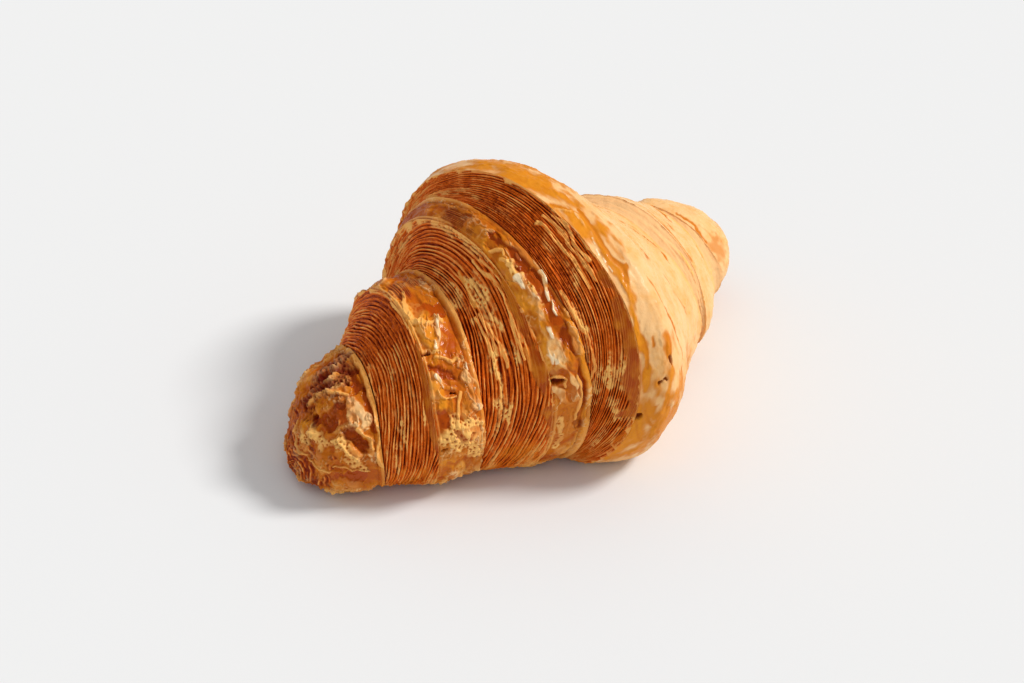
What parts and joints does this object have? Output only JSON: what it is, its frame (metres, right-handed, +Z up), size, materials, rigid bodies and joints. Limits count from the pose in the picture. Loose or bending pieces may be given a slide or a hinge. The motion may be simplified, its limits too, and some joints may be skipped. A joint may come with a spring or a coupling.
{
  "type": "cornetto",
  "caption": "Baked cornetto: a rolled, laminated butter pastry, thick in the middle and tapering to two blunt tips, with stepped coils and flaky leaf edges, flat underneath.",
  "frame": {"origin": "middle of the bounding box, on the surface that the flat underside rests on", "axes": "+Z up, +X along the roll from its low, rounded tip to its raised tip, +Y away from the side that the picture shows"},
  "size_m": [0.1576, 0.111, 0.0708],
  "materials": {
    "crust": "golden-brown baked butter pastry: glossy egg-washed skins, and matt reddish-brown leaves between them"
  },
  "bodies": {
    "root": {"cornetto": "crust"}
  },
  "joints": []
}
